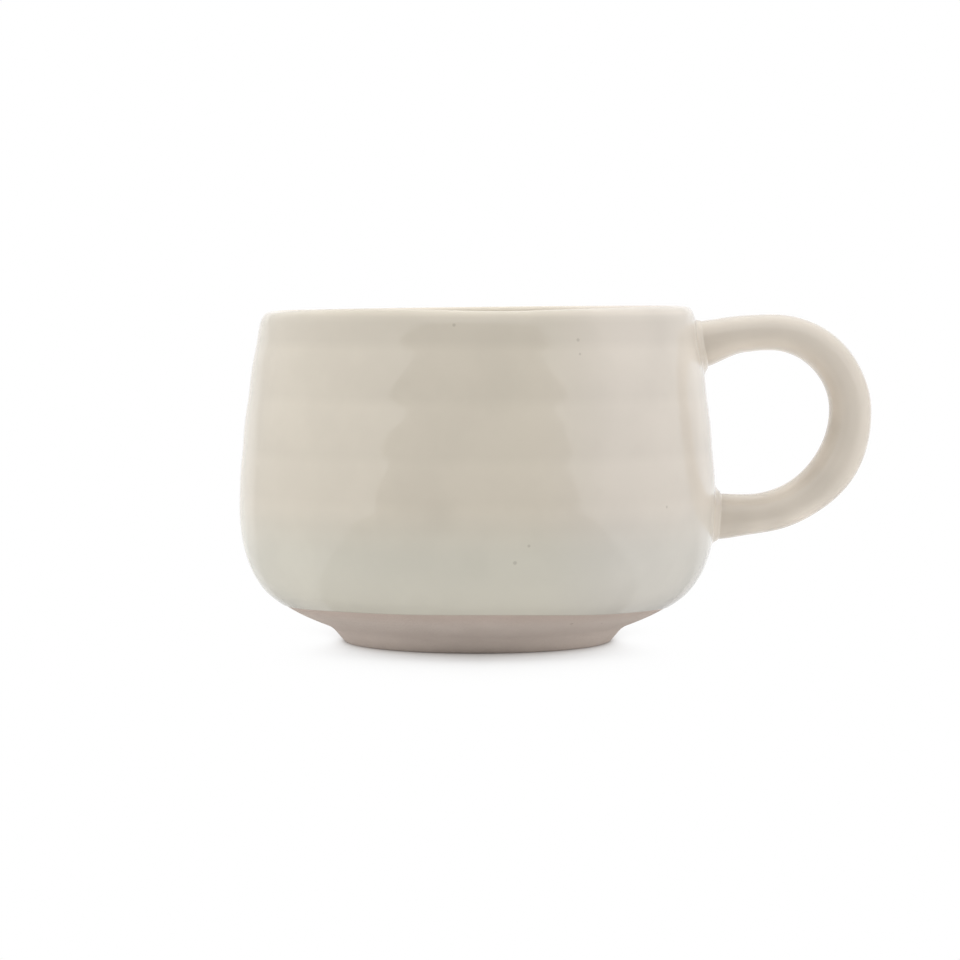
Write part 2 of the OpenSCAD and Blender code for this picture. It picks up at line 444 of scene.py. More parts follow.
@dataclass
class WallShape:
    """Side lines of the thrown wall, from the frame's sizes and the sweep of its curves."""

    belly_r: float
    cup_h: float
    foot_h: float
    foot_top_r: float
    belly_z: float = 26.3
    lip_d: float = 82.0
    lip_lean: float = math.radians(12)
    wall_t: float = 3.8
    lip_t: float = 2.2
    lip_drop: float = 1.1
    floor_t: float = 5.0
    floor_r: float = 20.0
    underside_rise: float = math.radians(20.5)
    underside_run: float = 10.6
    belly_fall: float = 16.0
    belly_hold: float = 7.0
    lip_run: float = 11.3
    floor_run: float = 13.0
    inside_fall: float = 13.0
    glaze_t: float = 0.4
    glaze_z: float = 7.0
    glaze_lap: float = 6.0
    throwing: ThrowingRings = ThrowingRings((10.5, 15.5, 23.1, 28.1, 36.2, 46.7, 56.7, 64.0))
    throwing_inside: ThrowingRings = ThrowingRings((11.0, 16.5, 24.0, 32.5, 41.5, 50.0, 57.0), 0.025)
    outside: SideLine = field(init=False)
    inside: SideLine = field(init=False)
    lip_mid: Vector = field(init=False)

    def __post_init__(self) -> None:
        """Work out the curves of both sides of the wall."""
        lip_r = self.lip_t / 2
        lip_out = Vector((math.cos(self.lip_lean), math.sin(self.lip_lean)))
        lip_down = Vector((math.sin(self.lip_lean), -math.cos(self.lip_lean)))
        inside_r = self.belly_r - self.wall_t
        foot = Vector((self.foot_top_r, self.foot_h))
        rise = Vector((math.cos(self.underside_rise), math.sin(self.underside_rise)))
        belly = Vector((self.belly_r, self.belly_z))
        inner_belly = Vector((inside_r, self.belly_z))
        floor = Vector((self.floor_r, self.floor_z))
        up = Vector((0, 1))
        self.lip_mid = Vector((
            self.lip_d / 2 - (lip_r + self.glaze_t) * lip_out.x,
            self.cup_h - self.glaze_t - lip_r,
        ))
        outer_lip = self.lip_mid + lip_r * lip_out
        inner_lip = self.lip_mid - lip_r * lip_out
        lean = self.lip_run * lip_down
        self.outside = SideLine(
            (
                Sweep(foot, foot + self.underside_run * rise, belly - self.belly_fall * up, belly),
                Sweep(belly, belly + self.belly_hold * up, outer_lip + lean, outer_lip),
            ),
            self.throwing,
        )
        self.inside = SideLine(
            (
                Sweep(inner_lip, inner_lip + lean, inner_belly + self.belly_hold * up, inner_belly),
                Sweep(
                    inner_belly,
                    inner_belly - self.inside_fall * up,
                    floor + Vector((self.floor_run, 0)),
                    floor,
                ),
            ),
            self.throwing_inside,
        )

    @classmethod
    def from_frame(cls) -> "WallShape":
        """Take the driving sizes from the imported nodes."""
        belly, skin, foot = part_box("bowl")[1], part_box("outer_glaze")[1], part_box("foot_ring")[1]
        return cls(belly.y / MM, skin.z / MM, foot.z / MM, foot.y / MM)

    def lip(self, start: float, stop: float, coat: float, steps: int) -> list[Vector]:
        """Points around the round lip, without its two ends.

        Args:
            start: First angle about the middle of the lip.
            stop: Last angle.
            coat: Thickness of the coat.
            steps: Steps between the two.

        Returns:
            Radius and height of each point.
        """
        reach = self.lip_t / 2 + coat
        angles = [start + (stop - start) * i / steps for i in range(1, steps)]
        return [self.lip_mid + reach * Vector((math.cos(a), math.sin(a))) for a in angles]

    def rim(self, coat: float, steps: int) -> list[Vector]:
        """Points over the coated lip, which is taller than a round one, without its two ends.

        Args:
            coat: Thickness of the coat.
            steps: Steps from the outside to the inside.

        Returns:
            Radius and height of each point.
        """
        out = Vector((math.cos(self.lip_lean), math.sin(self.lip_lean)))
        up = Vector((-out.y, out.x))
        reach = self.lip_t / 2 + coat
        centre = self.lip_mid - self.lip_drop * up
        angles = [math.pi * i / steps for i in range(1, steps)]
        tall = reach + self.lip_drop
        return [centre + reach * math.cos(a) * out + tall * math.sin(a) * up for a in angles]

    @property
    def floor_z(self) -> float:
        """Height of the clay floor inside."""
        return self.foot_h + self.floor_t

    @property
    def lap(self) -> float:
        """Distance down the inside at which the outer coat's lap ends."""
        return self.inside.where(self.cup_h - self.glaze_lap)


@dataclass(frozen=True)
class LipWave:
    """The lip's gentle rise and fall, as a lean of the whole rim and three finger marks."""

    lean: float = 0.47
    sink: float = 0.1
    lean_from: float = 36.0
    marks_from: float = 52.0
    marks: tuple[tuple[float, float, float], ...] = (
        (-33.0, 0.42, 20.0),
        (6.0, -0.34, 12.0),
        (-75.0, -0.25, 15.0),
    )

    def lift(self, angle: float, share_of_lean: float, share_of_marks: float) -> float:
        """Rise of the wall at an angle around the cup.

        Args:
            angle: Angle from the front.
            share_of_lean: Share of the rim's lean that reaches this height.
            share_of_marks: Share of the finger marks that reaches this height.

        Returns:
            The rise in millimetres.
        """
        rise = (self.lean * math.sin(angle) - self.sink) * share_of_lean
        for centre, height, reach in self.marks:
            away = math.degrees(angle) - centre
            rise += height * bell(away, reach) * share_of_marks
        return rise

    def apply(self, piece: Piece, top: float) -> None:
        """Lift the upper wall of a piece.

        Args:
            piece: A turned piece.
            top: Height of the lip.
        """
        for vertex in piece.data.vertices:
            z = vertex.co.z / MM
            of_lean = ease((z - self.lean_from) / (top - self.lean_from))
            if of_lean > 0:
                of_marks = ease((z - self.marks_from) / (top - self.marks_from))
                vertex.co.z += self.lift(azimuth(vertex.co.x, vertex.co.y), of_lean, of_marks) * MM


@dataclass
class ThrownBowl:
    """The thrown wall: its clay, the outside coat and the liner coat."""

    wall: WallShape
    steps: int = 192
    sunk: float = 0.05
    skin_step: float = 0.6
    hidden_step: float = 2.5
    bare_step: float = 0.35
    bare_over: float = 4.0
    base_inset: float = 6.0
    floor_step: float = 1.0
    lip_steps: int = 9
    near_edge: tuple[float, ...] = (0.0, 0.02, 0.06, 0.12, 0.2, 0.3, 0.45, 0.65, 0.9, 1.2, 1.6, 2.1, 2.7)
    off_edge: float = 3.3
    edge_low: float = 6.6
    edge_front: float = 1.7
    edge_tilt: float = 0.27
    edge_ripple: float = 0.07
    ripples: tuple[tuple[float, float, float], ...] = ((7, 0.6, 1.0), (4, 2.0, 0.8))
    edge_blend: float = 15.0
    nose: float = 0.3
    edge_t: float = 0.2
    edge_run: float = 4.5
    waver: float = 0.06
    waver_along: float = 13.0
    waver_up: float = 5.5
    waver_from: float = 9.0
    waver_grows: float = 6.0
    waver_under_lip: float = 2.0
    waver_fades: float = 5.0
    wave: LipWave = LipWave()

    def clay(self) -> Piece:
        """Turn the clay of the bowl, in fine steps where it stays bare.

        Returns:
            The clay, up over the lip and down to the middle of the floor.
        """
        shape = self.wall
        outside, inside = shape.outside, shape.inside
        bare_top = outside.where(shape.glaze_z + self.bare_over)
        line = [Vector((0, shape.foot_h)), Vector((shape.foot_top_r - self.base_inset, shape.foot_h))]
        line += [outside.at(s, 0) for s in evenly(0, bare_top, self.bare_step)]
        line += [outside.at(s, 0) for s in evenly(bare_top, outside.total, self.hidden_step)[1:]]
        line += shape.lip(shape.lip_lean, math.pi + shape.lip_lean, 0, self.lip_steps)
        line += [inside.at(s, 0) for s in evenly(0, inside.total, self.hidden_step)]
        line.append(Vector((0, shape.floor_z)))
        piece = Bench.turn("bowl_clay", line, self.steps)
        self.wave.apply(piece, shape.cup_h)
        return piece

    def coat_at_edge(self, above: float) -> float:
        """Thickness of the outside coat near its lower edge.

        Args:
            above: Distance up the wall from the edge.

        Returns:
            The thickness: a rounded nose, thin at first and then as thick as the plain coat.
        """
        short = 1 - min(above / self.nose, 1.0)
        full = self.edge_t + (self.wall.glaze_t - self.edge_t) * ease(above / self.edge_run)
        return math.sqrt(max(0.0, 1 - short * short)) * full

    def coat(self) -> Piece:
        """Turn the outside coat.

        Returns:
            The coat, from its lower edge over the lip to its lap inside, and back against the clay.
        """
        shape = self.wall
        outside, inside, thick = shape.outside, shape.inside, shape.glaze_t
        low = outside.where(shape.glaze_z)
        full = outside.total - shape.lip_drop - low
        above = [*self.near_edge, *evenly(self.off_edge, full, self.skin_step)]
        line = [outside.at(low, -self.sunk)]
        line += [outside.at(low + s, self.coat_at_edge(s)) for s in above]
        line += shape.rim(thick, 2 * self.lip_steps)
        line += [inside.at(s, thick) for s in evenly(shape.lip_drop, shape.lap, self.skin_step)]
        line += [inside.at(s, -self.sunk) for s in evenly(shape.lap, 0, self.hidden_step)]
        line += shape.lip(math.pi + shape.lip_lean, shape.lip_lean, -self.sunk, self.lip_steps)
        line += [outside.at(s, -self.sunk) for s in evenly(outside.total, low, self.hidden_step)]
        piece = Bench.turn("wall_glaze", line, self.steps)
        self.loosen(piece)
        self.slide_edge(piece)
        self.wave.apply(piece, shape.cup_h)
        return piece

    def liner(self) -> Piece:
        """Turn the liner coat.

        Returns:
            The coat, from the middle of the floor up to the lap, and back against the clay.
        """
        shape = self.wall
        inside, thick, step = shape.inside, shape.glaze_t, self.floor_step
        line = [Vector((0, shape.floor_z + thick))]
        line += [Vector((r, shape.floor_z + thick)) for r in evenly(step, shape.floor_r - step, step)]
        line += [inside.at(s, thick) for s in evenly(inside.total, shape.lap, self.skin_step)]
        line += [inside.at(s, -self.sunk) for s in evenly(shape.lap, inside.total, self.hidden_step)]
        line.append(Vector((0, shape.floor_z - self.sunk)))
        piece = Bench.turn("inside_glaze", line, self.steps)
        self.wave.apply(piece, shape.cup_h)
        return piece

    def loosen(self, piece: Piece) -> None:
        """Give the outside of a coat the slight unevenness of a thrown wall.

        Args:
            piece: The coat.
        """
        shape = self.wall
        for vertex in piece.data.vertices:
            x, y, z = vertex.co / MM
            radius = math.hypot(x, y)
            if radius - shape.outside.radius(z) < shape.glaze_t / 2:
                continue
            held = ease((z - self.waver_from) / self.waver_grows)
            held *= ease((shape.cup_h - self.waver_under_lip - z) / self.waver_fades)
            where = Vector((x / self.waver_along, y / self.waver_along, z / self.waver_up))
            moved = radius + self.waver * held * noise.noise(where)
            vertex.co.x *= moved / radius
            vertex.co.y *= moved / radius

    def edge_height(self, angle: float) -> float:
        """Height of the glaze line at an angle around the cup.

        Args:
            angle: Angle from the front.

        Returns:
            The height: highest in front, with a slight tilt and ripples.
        """
        front = self.edge_front * ((1 + math.cos(angle)) / 2) ** 2
        ripple = sum(share * math.sin(count * angle + start) for count, start, share in self.ripples)
        return self.edge_low + front - self.edge_tilt * math.sin(angle) + self.edge_ripple * ripple

    def slide_edge(self, piece: Piece) -> None:
        """Slide the lower edge of the coat along the wall to the glaze line.

        Args:
            piece: The coat.
        """
        shape = self.wall
        for vertex in piece.data.vertices:
            z = vertex.co.z / MM
            held = 1 - ease((z - shape.glaze_z) / (self.edge_blend - shape.glaze_z))
            if held <= 0:
                continue
            radius = math.hypot(vertex.co.x, vertex.co.y)
            lift = held * (self.edge_height(azimuth(vertex.co.x, vertex.co.y)) - shape.glaze_z)
            moved = radius / MM + shape.outside.radius(z + lift) - shape.outside.radius(z)
            vertex.co.x *= moved * MM / radius
            vertex.co.y *= moved * MM / radius
            vertex.co.z = (z + lift) * MM

    def build(self, clay: Material, glaze: Material, liner: Material) -> None:
        """Model and dress the bowl's three pieces.

        Args:
            clay: Material of the clay.
            glaze: Material of the outside coat.
            liner: Material of the liner coat.
        """
        Bench.hand_over(self.clay(), clay, Slot.CLAY, "bowl")
        Bench.hand_over(self.coat(), glaze, Slot.CREAM, "outer_glaze")
        Bench.hand_over(self.liner(), liner, Slot.LINER, "inner_glaze")


@dataclass
class TurnedFoot:
    """The foot ring, turned from the thick base, with a soft blend into the underside."""

    wall: WallShape
    foot_r: float = 25.3
    ring_w: float = 4.6
    inner_taper: float = 1.2
    edge_r: float = 0.45
    blend: float = 1.4
    sunk: float = 0.4
    steps: int = 192
    corner_steps: int = 7
    blend_steps: int = 10
    top_inset: float = 2.0

    @staticmethod
    def bent(a: Vector, corner: Vector, b: Vector, steps: int) -> list[Vector]:
        """Points of a soft corner.

        Args:
            a: Where the corner starts.
            corner: The sharp corner.
            b: Where it ends.
            steps: Steps around it.

        Returns:
            The points, with both ends.
        """
        shares = [i / steps for i in range(steps + 1)]
        return [(1 - t) ** 2 * a + 2 * (1 - t) * t * corner + t * t * b for t in shares]

    def rounded(self, before: Vector, corner: Vector, after: Vector, reach: float) -> list[Vector]:
        """A corner softened over a reach on each side of it.

        Args:
            before: A point before the corner.
            corner: The sharp corner.
            after: A point after it.
            reach: How far from the corner the softening starts and ends.

        Returns:
            The points, with both ends.
        """
        a = corner + reach * (before - corner).normalized()
        b = corner + reach * (after - corner).normalized()
        return self.bent(a, corner, b, self.corner_steps)

    def build(self, clay: Material) -> None:
        """Turn the foot ring and dress it.

        Args:
            clay: Material of the clay.
        """
        shape = self.wall
        junction = Vector((shape.foot_top_r, shape.foot_h))
        outer_low = Vector((self.foot_r, 0))
        inner_low = Vector((self.foot_r - self.ring_w, 0))
        inner_top = Vector((inner_low.x - self.inner_taper, shape.foot_h + self.sunk))
        below = junction + (outer_low - junction).normalized() * self.blend
        under = shape.outside.at(self.blend, 0)
        line = [inner_top]
        line += self.rounded(inner_top, inner_low, outer_low, self.edge_r)
        line += self.rounded(inner_low, outer_low, junction, self.edge_r)
        line += self.bent(below, junction, under, self.blend_steps)
        line.append(shape.outside.at(self.blend, -self.sunk))
        line.append(Vector((shape.foot_top_r - self.top_inset, shape.foot_h + self.sunk)))
        line.append(inner_top)
        piece = Bench.turn("turned_foot", line, self.steps)
        Bench.hand_over(piece, clay, Slot.CLAY, "foot_ring")


@dataclass
class PulledHandle:
    """The pulled strap, bent to a loop and set on the wall: core, two collars and one coat."""

    wall: WallShape
    strap_t: float = 6.6
    crown_r: float = 14.9
    bow_r: float = 52.0
    outer_t: Marks = (
        (0.0, 3.9),
        (0.06, 3.6),
        (0.17, 3.45),
        (0.40, 3.85),
        (0.50, 4.1),
        (0.64, 4.45),
        (0.79, 3.9),
        (0.88, 3.85),
        (1.0, 4.9),
    )
    inner_t: Marks = (
        (0.0, 4.9),
        (0.12, 3.5),
        (0.17, 3.4),
        (0.40, 3.8),
        (0.66, 4.0),
        (0.83, 3.75),
        (0.93, 3.65),
        (1.0, 3.8),
    )
    width: Marks = ((0.0, 11.8), (0.3, 10.9), (0.7, 10.7), (1.0, 11.4))
    outer_fullness: float = 2.35
    inner_fullness: float = 2.05
    groove: float = 0.13
    groove_turn: float = math.radians(128)
    groove_reach: float = math.radians(4)
    groove_from: float = 0.56
    groove_full: float = 0.70
    columns: int = 90
    step: float = 0.8
    fillet: float = 2.2
    feather: float = 5.0
    rim_at: float = 0.8
    rim_fall: float = 0.35
    under_lip: float = 0.35
    under_arm: float = 0.6
    root_fade: float = 15.0
    root_search: float = 4.0
    halvings: int = 22
    first_angle: float = 0.25
    angle_rounds: int = 24
    at_wall: tuple[float, ...] = (-0.25, -0.1, 0.0, 0.04, 0.1, 0.18, 0.27)
    along_rim: tuple[float, float, float] = (0.38, 1.9, 0.09)
    past_rim: tuple[float, float, float] = (2.2, 5.5, 0.5)
    core_sunk: float = 1.0
    collar_marks: tuple[float, ...] = (-0.5, 0.0, 0.1, 0.3, 0.6, 1.0, 1.5, 2.2, 3.0)
    collar_under: float = 0.02
    collar_seat: float = 0.2
    far_x: float = field(init=False)
    top_z: float = field(init=False)
    low_z: float = field(init=False)
    lengths: tuple[float, float, float, float] = field(init=False)

    def __post_init__(self) -> None:
        """Take the loop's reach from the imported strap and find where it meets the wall."""
        low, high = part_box("handle")
        self.far_x = high.x / MM - self.strap_t / 2
        self.top_z = high.z / MM - self.strap_t / 2
        self.low_z = low.z / MM + self.strap_t / 2
        outside, coat = self.wall.outside, self.wall.glaze_t
        angle = self.first_angle
        for _ in range(self.angle_rounds):
            z = self.top_z - self.bow_r * (1 - math.cos(angle))
            angle = math.asin((self.crown_x - outside.radius(z, coat)) / self.bow_r)
        lower_root = outside.radius(self.low_z, coat)
        self.lengths = (
            self.bow_r * angle,
            self.crown_r * math.pi / 2,
            self.sweep_r * math.pi / 2,
            self.far_x - self.sweep_r - lower_root,
        )

    @property
    def crown_x(self) -> float:
        """Distance of the crown's middle from the axis."""
        return self.far_x - self.crown_r

    @property
    def sweep_r(self) -> float:
        """Radius of the lower sweep."""
        return self.top_z - self.crown_r - self.low_z

    @property
    def total(self) -> float:
        """Length of the strap's middle line from wall to wall."""
        return sum(self.lengths)

    def middle(self, s: float) -> tuple[Vector, Vector]:
        """Middle line of the strap at a distance from the upper root.

        Args:
            s: Distance along the line, which may run on into the wall at both ends.

        Returns:
            The point and the direction out of the loop, both in the plane of the loop.
        """
        bow, crown, sweep, _ = self.lengths
        crown_z = self.top_z - self.crown_r
        if s < bow:
            angle = math.pi / 2 + (bow - s) / self.bow_r
            centre, reach = Vector((self.crown_x, 0, self.top_z - self.bow_r)), self.bow_r
        elif s < bow + crown:
            angle = math.pi / 2 - (s - bow) / self.crown_r
            centre, reach = Vector((self.crown_x, 0, crown_z)), self.crown_r
        elif s < bow + crown + sweep:
            angle = -(s - bow - crown) / self.sweep_r
            centre, reach = Vector((self.far_x - self.sweep_r, 0, crown_z)), self.sweep_r
        else:
            out = Vector((0, 0, -1))
            x = self.far_x - self.sweep_r - (s - bow - crown - sweep)
            return Vector((x, 0, self.low_z)), out
        out = Vector((math.cos(angle), 0, math.sin(angle)))
        return centre + reach * out, out

    @staticmethod
    def along(marks: Marks, share: float) -> float:
        """A size that changes softly between marks.

        Args:
            marks: Shares of the way, each with its size.
            share: The share of the way that is asked for.

        Returns:
            The size there.
        """
        for (a, low), (b, high) in zip(marks, marks[1:]):
            if share <= b:
                return low + (high - low) * ease((share - a) / (b - a))
        return marks[-1][1]

    def swell(self, off_wall: float, held: float) -> float:
        """How much the strap widens near a wall.

        Args:
            off_wall: Distance from the wall along the strap.
            held: Share of the fillet's height that there is room for.

        Returns:
            The extra half width: a round fillet that ends at a low rim.
        """
        tangent = self.fillet * (1 - self.feather / math.hypot(1, self.feather))
        short = max(self.fillet - max(off_wall, tangent), 0.0)
        round_in = self.fillet - math.sqrt(self.fillet**2 - short**2)
        feather = self.feather * max(tangent - off_wall, 0.0)
        left = 1 - ease((off_wall - self.rim_at) / self.rim_fall)
        return held * (round_in * left + feather)

    def point(self, s: float, turn: float, grow: float) -> Vector:
        """A point on the strap's skin.

        Args:
            s: Distance along the middle line.
            turn: Angle around the section, 0 on the outside of the loop.
            grow: How far the skin is moved out.

        Returns:
            The point in millimetres.
        """
        middle, out = self.middle(s)
        share = min(max(s / self.total, 0.0), 1.0)
        half_w = self.along(self.width, share) / 2
        c, d = math.cos(turn), math.sin(turn)
        half_t = self.along(self.outer_t if c > 0 else self.inner_t, share)
        fullness = self.outer_fullness if c > 0 else self.inner_fullness
        across = math.copysign(abs(c) ** (2 / fullness), c)
        aside = math.copysign(abs(d) ** (2 / fullness), d)
        lean = fullness - 2
        normal = Vector((across * abs(across) ** lean / half_t, aside * abs(aside) ** lean / half_w))
        off_groove = math.acos(min(max(c, -1.0), 1.0)) - self.groove_turn
        begun = ease((share - self.groove_from) / (self.groove_full - self.groove_from))
        groove = self.groove * bell(off_groove, self.groove_reach) * begun
        normal = normal.normalized() * (grow - groove)
        return middle + out * (across * half_t + normal.x) + Vector((0, aside * half_w + normal.y, 0))

    def off_wall(self, place: Vector) -> float:
        """Distance of a point from the coated wall, measured level."""
        return math.hypot(place.x, place.y) - self.wall.outside.radius(place.z, self.wall.glaze_t)

    def root(self, turn: float, near: float, inward: float, grow: float) -> float:
        """Where one column of the skin meets the wall.

        Args:
            turn: Angle of the column around the section.
            near: Distance along the middle line of the strap's root.
            inward: 1 if the wall lies towards larger distances, or else -1.
            grow: How far the skin is moved out.

        Returns:
            How much further along the middle line the column is at the wall than the root.
        """
        clear, deep = -self.root_search * inward, self.root_search * inward
        for _ in range(self.halvings):
            half = (clear + deep) / 2
            if self.off_wall(self.point(near + half, turn, grow)) > 0:
                clear = half
            else:
                deep = half
        return (clear + deep) / 2

    def rings(self, stations: Sequence[float], grow: float, swelling: bool) -> list[list[Vector]]:
        """Rings of the skin that follow the wall near both roots.

        Args:
            stations: Distances from the upper wall along the strap.
            grow: How far the skin is moved out.
            swelling: Whether the skin widens at the wall.

        Returns:
            One ring of points for each station.
        """
        made = []
        for station in stations:
            upper = station < self.total / 2
            off_wall = station if upper else self.total - station
            near, inward = (0, -1) if upper else (self.total, 1)
            least = self.under_lip if upper else self.under_arm
            follow = 1 - ease(off_wall / self.root_fade)
            ring = []
            for number in range(self.columns):
                turn = 2 * math.pi * number / self.columns
                held = 1 - (1 - least) * max(math.cos(turn), 0.0)
                swell = self.swell(off_wall, held) if swelling else 0.0
                shift = 0.0
                if follow:
                    shift = follow * self.root(turn, near, inward, swell)
                ring.append(self.point(station + shift, turn, grow + swell))
            made.append(ring)
        return made

    def near_wall(self) -> list[float]:
        """Distances from a wall at which the swelling is followed closely."""
        return [*self.at_wall, *evenly(*self.along_rim), *evenly(*self.past_rim)]

    def coat(self) -> Piece:
        """Pull the coat's skin and give it its thickness.

        Returns:
            The coat, from wall to wall.
        """
        near = self.near_wall()
        stations = near + evenly(near[-1], self.total - near[-1], self.step)[1:-1]
        stations += [self.total - s for s in reversed(near)]
        piece = Bench.pull_open("handle_glaze_coat", self.rings(stations, 0.0, True))
        Bench.close_up()
        bpy.ops.object.mode_set(mode="OBJECT")
        shell = piece.modifiers.new("coat", "SOLIDIFY")
        shell.thickness = self.wall.glaze_t * MM
        shell.offset = -1
        shell.use_even_offset = True
        bpy.ops.object.modifier_apply(modifier=shell.name)
        return piece

    def core(self) -> Piece:
        """Pull the clay strap inside the coat."""
        stations = evenly(-self.core_sunk, self.total + self.core_sunk, 2 * self.step)
        return Bench.pull("handle_core", self.rings(stations, -self.wall.glaze_t, False), False)

    def collar(self, name: str, upper: bool) -> Piece:
        """Model the slip collar between core and coat at one root.

        Args:
            name: Name of the piece.
            upper: Whether it is the collar under the lip, or else the one at the belly.

        Returns:
            The collar, a closed ring around the core.
        """
        stations = [s if upper else self.total - s for s in self.collar_marks]
        skin = self.rings(stations, -self.wall.glaze_t - self.collar_under, True)
        seat = self.rings(stations, -self.wall.glaze_t - self.collar_seat, False)
        return Bench.pull(name, skin + seat[::-1], True)

    def build(self, clay: Material, slip: Material, glaze: Material) -> None:
        """Model and dress the handle's four pieces.

        Args:
            clay: Material of the strap.
            slip: Material of the collars.
            glaze: Material of the coat.
        """
        Bench.hand_over(self.core(), clay, Slot.CLAY, "handle")
        Bench.hand_over(self.collar("upper_collar", True), slip, Slot.SLIP, "upper_handle_joint")
        Bench.hand_over(self.collar("lower_collar", False), slip, Slot.SLIP, "lower_handle_joint")
        Bench.hand_over(self.coat(), glaze, Slot.CREAM, "handle_glaze")


class Board:
    """Adds nodes to one node tree and joins them."""

    MIX_SHARE, MIX_A, MIX_B, MIX_RESULT = 0, 6, 7, 2

    def __init__(self, tree: bpy.types.NodeTree) -> None:
        """Keep the tree that the nodes go into."""
        self.tree = tree

    @classmethod
    def begin(cls, name: str) -> tuple[Material, "Board", Node, Socket]:
        """Start a material.

        Args:
            name: Name of the material.

        Returns:
            The material, its board, its shader and the object coordinates.
        """
        made = bpy.data.materials.new(name)
        made.use_nodes = True
        board = cls(made.node_tree)
        place = board.add("ShaderNodeTexCoord").outputs["Object"]
        return made, board, made.node_tree.nodes["Principled BSDF"], place

    def add(self, kind: str, inputs: dict[str | int, Any] | None = None, **settings: Any) -> Node:
        """Add one node.

        Args:
            kind: Blender's name of the node.
            inputs: Values, or sockets to join, by the input's name or place.
            settings: The node's own settings.

        Returns:
            The node.
        """
        node = self.tree.nodes.new(kind)
        for name, value in settings.items():
            setattr(node, name, value)
        for key, value in (inputs or {}).items():
            if isinstance(value, Socket):
                self.tree.links.new(value, node.inputs[key])
            else:
                node.inputs[key].default_value = value
        return node

    def join(self, node: Node, sockets: dict[str, Socket]) -> None:
        """Join sockets to the inputs of a node, by their names."""
        for name, socket in sockets.items():
            self.tree.links.new(socket, node.inputs[name])

    def math(self, operation: str, a: Any, b: Any = 0.0) -> Socket:
        """Result of a sum on two values."""
        return self.add("ShaderNodeMath", {0: a, 1: b}, operation=operation).outputs[0]

    def vector(self, operation: str, a: Any, b: Any = (0.0, 0.0, 0.0)) -> Socket:
        """Result of a sum on two vectors or colours that is a vector or a colour too."""
        return self.add("ShaderNodeVectorMath", {0: a, 1: b}, operation=operation).outputs["Vector"]

    def length(self, vector: Any) -> Socket:
        """Length of a vector."""
        return self.add("ShaderNodeVectorMath", {0: vector}, operation="LENGTH").outputs["Value"]

    def parts(self, vector: Any) -> bpy.types.NodeOutputs:
        """The three parts of a vector."""
        return self.add("ShaderNodeSeparateXYZ", {"Vector": vector}).outputs

    def bump(self, height: Any, distance: float) -> Socket:
        """A normal that follows a fine height."""
        inputs = {"Height": height, "Strength": 1.0, "Distance": distance}
        return self.add("ShaderNodeBump", inputs).outputs["Normal"]

    def remap(self, value: Any, low: float, high: float, to_low: Any, to_high: float) -> Socket:
        """A value moved softly from one range to another."""
        inputs = {"Value": value, "From Min": low, "From Max": high, "To Min": to_low, "To Max": to_high}
        return self.add("ShaderNodeMapRange", inputs, interpolation_type="SMOOTHSTEP").outputs[0]

    def ramp(self, value: Any, marks: Marks) -> Socket:
        """A level that follows marks over a value.

        Args:
            value: The value.
            marks: Rising values, each with its level.

        Returns:
            The level between the marks.
        """
        low, high = marks[0][0], marks[-1][0]
        share = self.add("ShaderNodeMapRange", {"Value": value, "From Min": low, "From Max": high})
        node = self.add("ShaderNodeValToRGB", {0: share.outputs[0]})
        stops = node.color_ramp.elements
        for place, level in marks[1:-1]:
            stops.new((place - low) / (high - low)).color = (level, level, level, 1)
        for end, (_, level) in ((stops[0], marks[0]), (stops[-1], marks[-1])):
            end.color = (level, level, level, 1)
        return node.outputs[0]

    def distance(self, place: Socket, centre: Sequence[float]) -> Socket:
        """Distance in metres from a centre given in millimetres."""
        inputs = {0: place, 1: tuple(part * MM for part in centre)}
        return self.add("ShaderNodeVectorMath", inputs, operation="DISTANCE").outputs["Value"]

    def blend(self, share: Any, a: Any, b: Any) -> Socket:
        """A colour between two colours.

        Args:
            share: Share of the second colour.
            a: The first colour.
            b: The second colour.

        Returns:
            The colour.
        """
        inputs = {self.MIX_SHARE: share}
        for key, colour in ((self.MIX_A, a), (self.MIX_B, b)):
            inputs[key] = (*colour, 1.0) if isinstance(colour, tuple) else colour
        return self.add("ShaderNodeMix", inputs, data_type="RGBA").outputs[self.MIX_RESULT]


class Effect:
    """A shader node group, made once and placed in each material that uses it."""

    name = ""
    inputs: tuple[tuple[str, str], ...] = ()
    outputs: tuple[tuple[str, str], ...] = ()

    @classmethod
    def tree(cls) -> bpy.types.NodeTree:
        """Find the group, or make it on its first use.

        Returns:
            The group.
        """
        made = bpy.data.node_groups.get(cls.name)
        if made:
            return made
        made = bpy.data.node_groups.new(cls.name, "ShaderNodeTree")
        for title, kind in cls.inputs:
            made.interface.new_socket(name=title, in_out="INPUT", socket_type=kind)
        for title, kind in cls.outputs:
            made.interface.new_socket(name=title, in_out="OUTPUT", socket_type=kind)
        board = Board(made)
        source = board.add("NodeGroupInput")
        target = board.add("NodeGroupOutput")
        for title, socket in cls.draw(board, source).items():
            made.links.new(socket, target.inputs[title])
        return made

    @classmethod
    def draw(cls, board: Board, source: Node) -> dict[str, Socket]:
        """Draw the group's nodes.

        Args:
            board: The group's board.
            source: Node that holds the group's inputs.

        Returns:
            What goes to the group's outputs, by name.
        """
        raise NotImplementedError

    @classmethod
    def place(cls, board: Board, inputs: dict[str, Any]) -> Node:
        """Place the group in a material with its own values."""
        return board.add("ShaderNodeGroup", inputs, node_tree=cls.tree())


